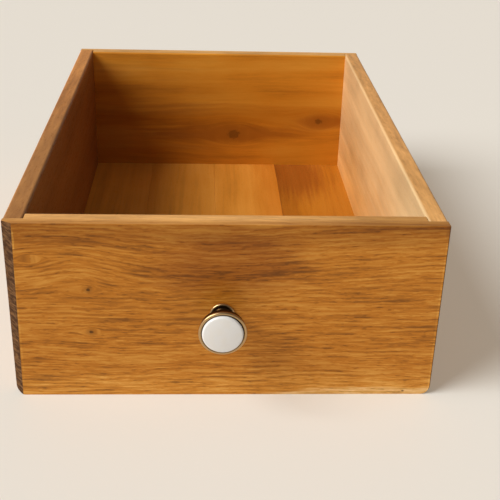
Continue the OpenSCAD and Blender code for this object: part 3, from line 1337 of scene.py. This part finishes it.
@dataclass
class PullKnob:
    """Porcelain pull: foot, neck, dish, ring, button, washer and screw.

    Heights are counted forward from the front face, along the knob's axis.
    """

    origin: Vector = field(init=False)
    forward: Vector = field(init=False)
    foot_radius: float = field(init=False)
    foot_top: float = field(init=False)
    dish_root: float = field(init=False)
    ring_base: float = field(init=False)
    ring_top: float = field(init=False)
    ring_radius: float = field(init=False)
    crown: float = field(init=False)
    cap_radius: float = 14.0 * MM
    neck_end: float = 5.2 * MM
    neck_waist: float = 4.0 * MM
    bore_radius: float = 2.2 * MM
    bolt_radius: float = 2.0 * MM
    thread_pitch: float = 0.7 * MM
    thread_depth: float = 0.22 * MM
    recess_reach: float = 2.2 * MM
    recess_half_width: float = 0.45 * MM
    recess_depth: float = 1.2 * MM
    recess_angle: float = 20.0
    seat_depth: float = 3.0 * MM
    full_turn_steps: int = 96
    crease: float = 38.0
    metal: Colour = (0.52, 0.34, 0.165)
    neck_metal: Colour = (0.30, 0.18, 0.10)

    def __post_init__(self) -> None:
        """Reads the stations along the axis from the CAD nodes."""
        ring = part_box("knob_bezel")
        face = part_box("front_board")[0].y
        self.forward = Vector((0, -1, 0))
        self.origin = Vector(((ring[0].x + ring[1].x) / 2, face, (ring[0].z + ring[1].z) / 2))
        self.foot_radius = (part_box("knob_foot")[1].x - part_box("knob_foot")[0].x) / 2
        self.foot_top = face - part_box("knob_foot")[0].y
        self.dish_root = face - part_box("knob_cup")[1].y
        self.ring_base = face - ring[1].y
        self.ring_top = face - ring[0].y
        self.ring_radius = (ring[1].x - ring[0].x) / 2
        self.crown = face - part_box("knob_cap")[0].y

    def foot_profile(self) -> list[Point]:
        """Draws the foot: a half-round rim, a hollow face and a collar.

        Returns:
            Radius and height of each point.
        """
        rim = 1.1 * MM
        collar = self.neck_end + 0.5 * MM
        soft = 0.3 * MM
        edge = arc((self.foot_radius - rim, rim), rim, -60, 100, 10)
        hollow = arc((self.foot_radius - 2.1 * MM, 3.3 * MM), 1.6 * MM, 250, 190, 6)
        return [(self.bore_radius, 0.0), (self.foot_radius - rim, 0.0), *edge, *hollow,
                (collar, self.foot_top - soft), (collar - soft, self.foot_top),
                (self.bore_radius, self.foot_top)]

    def neck_profile(self) -> list[Point]:
        """Draws the neck: a small bead at each end of a long waist.

        Returns:
            Radius and height of each point.
        """
        bead = 0.9 * MM
        lower = arc((self.neck_end - bead, self.foot_top + bead), bead, -90, 60, 6)
        upper = arc((self.neck_end - bead, self.dish_root - bead), bead, -60, 90, 6)
        rise = self.neck_end - self.neck_waist - 0.3 * MM
        span = self.dish_root - self.foot_top - 4 * bead
        waist = [(self.neck_waist + rise * (2 * i / 12 - 1) ** 2,
                  self.foot_top + 2 * bead + span * i / 12) for i in range(13)]
        return [(self.bolt_radius, self.foot_top), *lower, *waist, *upper,
                (self.bolt_radius, self.dish_root)]

    def dish_profile(self) -> list[Point]:
        """Draws the dish: a flared back, a straight wall and the recess inside it.

        Returns:
            Radius and height of each point.
        """
        wall = self.ring_radius - 0.9 * MM
        root = self.neck_end + 0.8 * MM
        flare_height = 3.6 * MM
        flare = [(root + (wall - root) * i / 10, self.dish_root + flare_height * (i / 10) ** 1.6)
                 for i in range(11)]
        recess = self.cap_radius + 0.5 * MM
        floor = self.ring_base - self.seat_depth
        return [(0.0, self.dish_root), *flare, (wall, self.ring_base), (recess, self.ring_base),
                (recess, floor), (0.0, floor)]

    def ring_profile(self) -> list[Point]:
        """Draws the ring: an outer bead that falls away in a hollow slope to the porcelain.

        Returns:
            Radius and height of each point.
        """
        inner, outer, top = self.cap_radius - 0.3 * MM, self.ring_radius, self.ring_top
        bead = 1.15 * MM
        return [(inner, self.ring_base), (outer - 0.5 * MM, self.ring_base),
                (outer - 0.15 * MM, self.ring_base + 0.5 * MM),
                *arc((outer - bead, top - bead), bead, -10, 148, 16),
                (inner + 0.25 * MM, top - 0.75 * MM), (inner, top - 1.0 * MM)]

    def cap_profile(self) -> list[Point]:
        """Draws the button: a flange in the dish, an upright wall, a soft shoulder, a low crown.

        Returns:
            Radius and height of each point.
        """
        base = self.ring_base - self.seat_depth
        flange = self.cap_radius + 0.4 * MM
        foot = self.cap_radius - 0.45 * MM
        soft = 1.6 * MM
        brow = self.crown - 2.4 * MM
        shoulder = arc((self.cap_radius - soft, brow), soft, -14, 78, 14)
        edge, height = shoulder[-1]
        crown = [(edge * (1 - i / 14), height + (self.crown - height) * (1 - (1 - i / 14) ** 2))
                 for i in range(1, 15)]
        return [(0.0, base), (flange, base), (flange, self.ring_base), (foot, self.ring_base),
                (foot, self.ring_top - 0.4 * MM), *shoulder, *crown]

    def washer_profile(self) -> list[Point]:
        """Draws the washer, with its heights counted back from the front face.

        Returns:
            Radius and height of each point.
        """
        low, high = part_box("knob_washer")
        bore, radius = self.bore_radius, (high.x - low.x) / 2
        near, far = self.origin.y - low.y, self.origin.y - high.y
        soft = 0.15 * MM
        return [(bore, far + soft), (bore + soft, far), (radius - soft, far), (radius, far + soft),
                (radius, near), (bore, near)]

    def screw_profile(self) -> list[Point]:
        """Draws the machine screw: a domed head on the washer and a threaded shank.

        Returns:
            Radius and height of each point.
        """
        low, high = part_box("knob_screw")
        seat = self.origin.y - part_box("knob_washer")[1].y
        back, tip = self.origin.y - high.y, self.origin.y - low.y
        radius, root = (high.x - low.x) / 2, self.bolt_radius - self.thread_depth
        rise = seat - 0.5 * MM - back
        angles = [pi / 2 * i / 8 for i in range(9)]
        dome = [(radius * sin(a), back + rise * (1 - cos(a))) for a in angles]
        thread = []
        height = seat + 1.0 * MM
        while height + self.thread_pitch < tip - 0.5 * MM:
            thread += [(root, height), (self.bolt_radius, height + self.thread_pitch / 2)]
            height += self.thread_pitch
        return [*dome, (radius, seat), (self.bolt_radius, seat), *thread,
                (root, tip - 0.4 * MM), (0.0, tip)]

    def cross_recess(self) -> bmesh.types.BMesh:
        """Makes the shape of the cross recess in the screw's head.

        Returns:
            The mesh of a cross.
        """
        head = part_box("knob_screw")[1].y
        reach, half = self.recess_reach, self.recess_half_width
        arm = ((reach, -half), (reach, half), (half, half))
        turns = [Matrix.Rotation(pi / 2 * k, 2) for k in range(4)]
        outline = [turn @ Vector(point) for turn in turns for point in arm]
        tool = bmesh.new()
        base = tool.faces.new([tool.verts.new((p.x, -self.recess_depth, p.y)) for p in outline])
        push_faces(tool, [base], Vector((0, 2 * self.recess_depth, 0)), keep=True)
        turn = Matrix.Rotation(radians(self.recess_angle), 4, "Y")
        place = Matrix.Translation((self.origin.x, head, self.origin.z)) @ turn
        bmesh.ops.transform(tool, matrix=place, verts=tool.verts[:])
        return tool

    def turn(self, node: str, profile: Sequence[Point], closed: bool, material: bpy.types.Material,
             slot: Slot) -> None:
        """Turns one piece of the knob and dresses it.

        Args:
            node: CAD node that it stands for.
            profile: Its outline.
            closed: Whether the outline is a ring that misses the axis.
            material: Its material.
            slot: Its slot.
        """
        mesh = turned_mesh(profile, self.origin, self.forward, self.full_turn_steps, closed)
        piece = make_object(mesh, node + "_turned")
        if node == "knob_screw":
            carve(piece, self.cross_recess())
        dress(piece, material, self.crease)
        hand_over(piece, Body.KNOB, slot, node)

    def build(self) -> None:
        """Builds and dresses the seven pieces."""
        fade = (("neck", 4.0, 9.0), ("foot", 7.0, 9.2), ("ring", 13.8, 15.4),
                  ("dish", 15.8, 16.6))
        neck, foot, ring, dish = (
            BrassFinish(f"antique_brass_{part}", self.origin, start * MM, end * MM,
                        metal=self.neck_metal if part == "neck" else self.metal).build()
            for part, start, end in fade)
        steel = SteelFinish().build()
        self.turn("knob_foot", self.foot_profile(), True, foot, Slot.BRASS)
        self.turn("knob_neck", self.neck_profile(), True, neck, Slot.BRASS)
        self.turn("knob_cup", self.dish_profile(), False, dish, Slot.BRASS)
        self.turn("knob_bezel", self.ring_profile(), True, ring, Slot.BRASS)
        self.turn("knob_cap", self.cap_profile(), False, PorcelainFinish().build(), Slot.PORCELAIN)
        self.turn("knob_washer", self.washer_profile(), True, steel, Slot.STEEL)
        self.turn("knob_screw", self.screw_profile(), False, steel, Slot.STEEL)


@dataclass(frozen=True)
class SoftSun:
    """Even daylight from one side, with soft shadows."""

    name: str
    towards: tuple[float, float, float]
    spread: float
    strength: float
    colour: Colour

    def build(self) -> None:
        """Adds the light."""
        data = bpy.data.lights.new(self.name, "SUN")
        data.angle = radians(self.spread)
        data.energy = self.strength
        data.color = self.colour
        lamp = bpy.data.objects.new(self.name, data)
        lamp.rotation_euler = Vector(self.towards).to_track_quat("Z", "Y").to_euler()
        bpy.context.scene.collection.objects.link(lamp)


@dataclass(frozen=True)
class Studio:
    """Pale floor, soft light and camera."""

    floor_size: float = 12.0
    sky: Colour = (1.0, 0.98, 0.95)
    sky_strength: float = 0.17
    backdrop: Colour = (0.80, 0.75, 0.67)
    backdrop_foot: float = 0.03
    backdrop_top: float = 0.22
    window_side: tuple[float, float, float] = (-0.707, -0.257, 0.659)
    camera_place: tuple[float, float, float] = (-0.0157, -0.7894, 0.3994)
    camera_yaw: float = 0.0544
    camera_pitch: float = 0.4626
    camera_roll: float = 0.0300
    lens: float = 67.6

    def build(self) -> None:
        """Builds the floor, the lights and the camera."""
        bm = bmesh.new()
        bmesh.ops.create_grid(bm, x_segments=1, y_segments=1, size=self.floor_size / 2)
        floor = make_object(bm, "floor")
        floor.data.materials.append(FloorFinish().build())
        self._room()
        SoftSun("window", self.window_side, 38.0, 3.75, (1.0, 0.98, 0.945)).build()
        bpy.context.scene.view_settings.view_transform = "Standard"
        self._camera()

    def _room(self) -> None:
        """Adds soft light from all round, with a pale backdrop low down."""
        world = bpy.data.worlds.new("soft_room")
        world.use_nodes = True
        nodes, links = world.node_tree.nodes, world.node_tree.links
        ways = nodes.new("ShaderNodeSeparateXYZ")
        links.new(nodes.new("ShaderNodeTexCoord").outputs["Generated"], ways.inputs[0])
        rise = nodes.new("ShaderNodeMapRange")
        rise.interpolation_type = "SMOOTHSTEP"
        reach = (0.0, self.backdrop_foot, self.backdrop_top, 0.0, 1.0)
        for socket, value in zip(rise.inputs, reach):
            socket.default_value = value
        links.new(ways.outputs[2], rise.inputs[0])
        tones = nodes.new("ShaderNodeValToRGB")
        sky = (c * self.sky_strength for c in self.sky)
        for element, colour in zip(tones.color_ramp.elements, (self.backdrop, sky)):
            element.color = (*colour, 1.0)
        links.new(rise.outputs[0], tones.inputs[0])
        links.new(tones.outputs[0], nodes["Background"].inputs[0])
        bpy.context.scene.world = world

    def _camera(self) -> None:
        """Adds the camera, aimed by its yaw, pitch and roll."""
        yaw, pitch, roll = self.camera_yaw, self.camera_pitch, self.camera_roll
        ahead = Vector((sin(yaw) * cos(pitch), cos(yaw) * cos(pitch), -sin(pitch)))
        level = Vector((cos(yaw), -sin(yaw), 0.0))
        above = level.cross(ahead)
        right = level * cos(roll) + above * sin(roll)
        up = above * cos(roll) - level * sin(roll)
        data = bpy.data.cameras.new("camera")
        data.lens = self.lens
        data.sensor_width = 36.0
        camera = bpy.data.objects.new("camera", data)
        turn = Matrix((right, up, -ahead)).transposed().to_4x4()
        camera.matrix_world = Matrix.Translation(self.camera_place) @ turn
        bpy.context.scene.collection.objects.link(camera)
        bpy.context.scene.camera = camera


def oak_finishes() -> dict[str, OakFinish]:
    """Describes the oak of each board.

    Returns:
        The finish of each board, by node name.
    """
    dark, middle, light = (0.24, 0.082, 0.008), (0.51, 0.176, 0.014), (0.65, 0.285, 0.044)
    front = OakFinish(
        "oak_front", Grain.ALONG_X, dark, middle, light, shift=2.0, ring_angle=132.0,
        skin=Skin(-0.209, (0.9, 0.88, 0.85)),
        rim_stains=(Stain(0.142, 0.136, 0.070, 0.004, (0.64, 0.58, 0.46), 0.9, 0.6),),
        top_light=(0.86, 0.47, 0.165), top_light_share=0.68, dim_top_face=-0.225,
        swells=(Swell(-0.104, 0.104, 7.5 * MM, 0.034, 0.022),
                Swell(0.000, 0.120, -3.5 * MM, 0.070, 0.030),
                Swell(0.175, 0.110, 7.0 * MM, 0.080, 0.040)),
        knots=(Knot(-0.0947, 0.0864, 1.1 * MM, 2.6 * MM),
               Knot(-0.0940, 0.0529, 1.2 * MM, 2.8 * MM),
               Knot(-0.1320, 0.1100, 0.4 * MM, 3.0 * MM, 0.3),
               Knot(0.1300, 0.0030, 0.5 * MM, 0.9 * MM, 0.7)),
        stains=(Stain(0.152, 0.132, 0.004, 0.008, (0.45, 0.35, 0.35), 0.7),
                # Painted highlight: thin pale lines along the front's left arris; the short one
                # near the top also stands for a pale splinter there.
                Stain(-0.1424, 0.124, 0.0008, 0.007, (1.45, 1.9, 3.6), 0.9, 0.3),
                Stain(-0.1434, 0.065, 0.0006, 0.050, (1.15, 1.3, 1.7), 0.7, 0.3),
                Stain(0.1490, 0.060, 0.0012, 0.070, (1.15, 1.3, 1.8), 0.7, 0.3),
                Stain(0.0, 0.106, 0.050, 0.022, (0.68, 0.58, 0.50), 0.9),
                Stain(-0.030, 0.133, 0.30, 0.013, (0.68, 0.62, 0.50), 0.85),
                Stain(0.0, 0.004, 0.40, 0.013, (1.22, 1.38, 1.9), 0.8),
                Stain(0.150, 0.0, 0.110, 0.0060, (1.20, 1.6, 3.6), 1.0, 0.2)))
    back = OakFinish(
        "oak_back", Grain.ALONG_X, (0.33, 0.11, 0.008), (0.62, 0.235, 0.016), (0.72, 0.33, 0.038),
        shift=11.0, ring_angle=50.0, skin=Skin(0.211, (1.0, 1.0, 1.0), detail=0.15, lines=0.35),
        band_share=1.35, band_rate=0.65,
        knots=(Knot(0.0165, 0.045, 5.2 * MM, 11.0 * MM, 0.5),
               Knot(0.111, 0.061, 3.2 * MM, 9.0 * MM, 0.5)),
        stains=(Stain(0.020, 0.130, 0.30, 0.030, (1.18, 1.22, 1.4), 0.9),
                # Painted shadow: this stain darkens the left part of the back, where the left
                # side's shadow falls.
                Stain(-0.150, 0.040, 0.125, 0.075, (0.58, 0.50, 0.75), 0.85, 0.8),
                Stain(0.020, 0.066, 0.16, 0.012, (0.78, 0.68, 0.5), 0.8),
                Stain(0.010, 0.046, 0.085, 0.010, (0.66, 0.56, 0.6), 0.9),
                Stain(0.118, 0.060, 0.030, 0.007, (0.74, 0.64, 0.7), 0.9)))
    # Painted shade: the left side is a darker copy of the oak, and its inner-face skin and its top
    # tint darken it further, for the shadow that falls inside the case.
    left = OakFinish(
        "oak_left", Grain.ALONG_Y_UPRIGHT,
        (0.22, 0.075, 0.016), (0.40, 0.158, 0.040), (0.52, 0.24, 0.07),
        shift=21.0, slope=0.02, skin=Skin(-0.136, (0.56, 0.50, 0.46), detail=0.4, lines=0.8),
        top_light=(0.33, 0.147, 0.047),
        rim_stains=(Stain(0.230, 0.136, 0.200, 0.004, (1.5, 1.42, 1.3), 0.9, 0.6),))
    right = OakFinish(
        "oak_right", Grain.ALONG_Y_UPRIGHT,
        (0.36, 0.135, 0.022), (0.54, 0.22, 0.036), (0.68, 0.33, 0.08),
        shift=31.0, slope=-0.015, band_share=1.05, band_rate=0.6, top_light=(0.77, 0.405, 0.153),
        skin=Skin(0.136, (0.80, 0.555, 0.295), "MIX", 0.72, detail=0.08, lines=0.1),
        # Painted shade: the first two stains darken the inner face low down, near the floor.
        stains=(Stain(0.060, -0.010, 0.40, 0.085, (0.86, 0.69, 0.46), 0.85, 0.8),
                Stain(0.090, 0.010, 0.10, 0.045, (0.86, 0.78, 0.62), 0.85, 0.8),
                Stain(-0.200, 0.125, 0.095, 0.050, (1.12, 1.24, 1.32), 0.9, 0.8)))
    finishes = {"front_board": front, "back_board": back, "left_side": left, "right_side": right}
    knotty = (Stain(0.178, 0.083, 0.060, 0.034, (0.62, 0.48, 0.60), 0.9),
              Stain(0.050, 0.068, 0.10, 0.012, (0.75, 0.68, 0.6), 0.8))
    seam = (Stain(0.10, 0.066, 0.40, 0.024, (0.82, 0.68, 0.50), 0.9, 0.8),
            Stain(0.10, 0.0645, 0.60, 0.0012, (0.45, 0.36, 0.36), 0.8, 0.3))
    browns = ((0.66, 0.26, 0.032), (0.66, 0.26, 0.032), (0.66, 0.255, 0.030), (0.46, 0.155, 0.011))
    for i, brown in enumerate(browns, 1):
        deep = tuple(0.6 * c for c in brown)
        pale = (1.2 * brown[0], 1.35 * brown[1], 1.9 * brown[2])
        finishes[f"bottom_board_{i}"] = OakFinish(
            f"oak_bottom_{i}", Grain.ALONG_Y_FLAT, deep, brown, pale,
            shift=51.0 if i < 4 else 69.0, band_rate=0.8,
            skin=Skin(0.009, (1.0, 1.0, 1.0), detail=0.15, lines=0.5), top_light_share=0.0,
            stains={3: seam, 4: knotty}.get(i, ()))
    return finishes


def main() -> None:
    """Builds every sub-assembly, then the studio."""
    logging.basicConfig(level=logging.INFO, format="%(name)s: %(message)s")
    sizes = CaseSizes()
    oak = {node: finish.build() for node, finish in oak_finishes().items()}
    screws = BottomScrews(sizes)
    WallBoards(sizes, screws).build(oak)
    CornerPins(sizes).build(PinFinish().build())
    bottom = BottomBoards(screws)
    bottom.build([oak[f"bottom_board_{i}"] for i in range(1, screws.boards + 1)])
    bottom.dress_tongues(oak["bottom_board_1"])
    screws.build(SteelFinish("zinc_plated_screws").build())
    PullKnob().build()
    Studio().build()


if __name__ == "__main__":
    main()
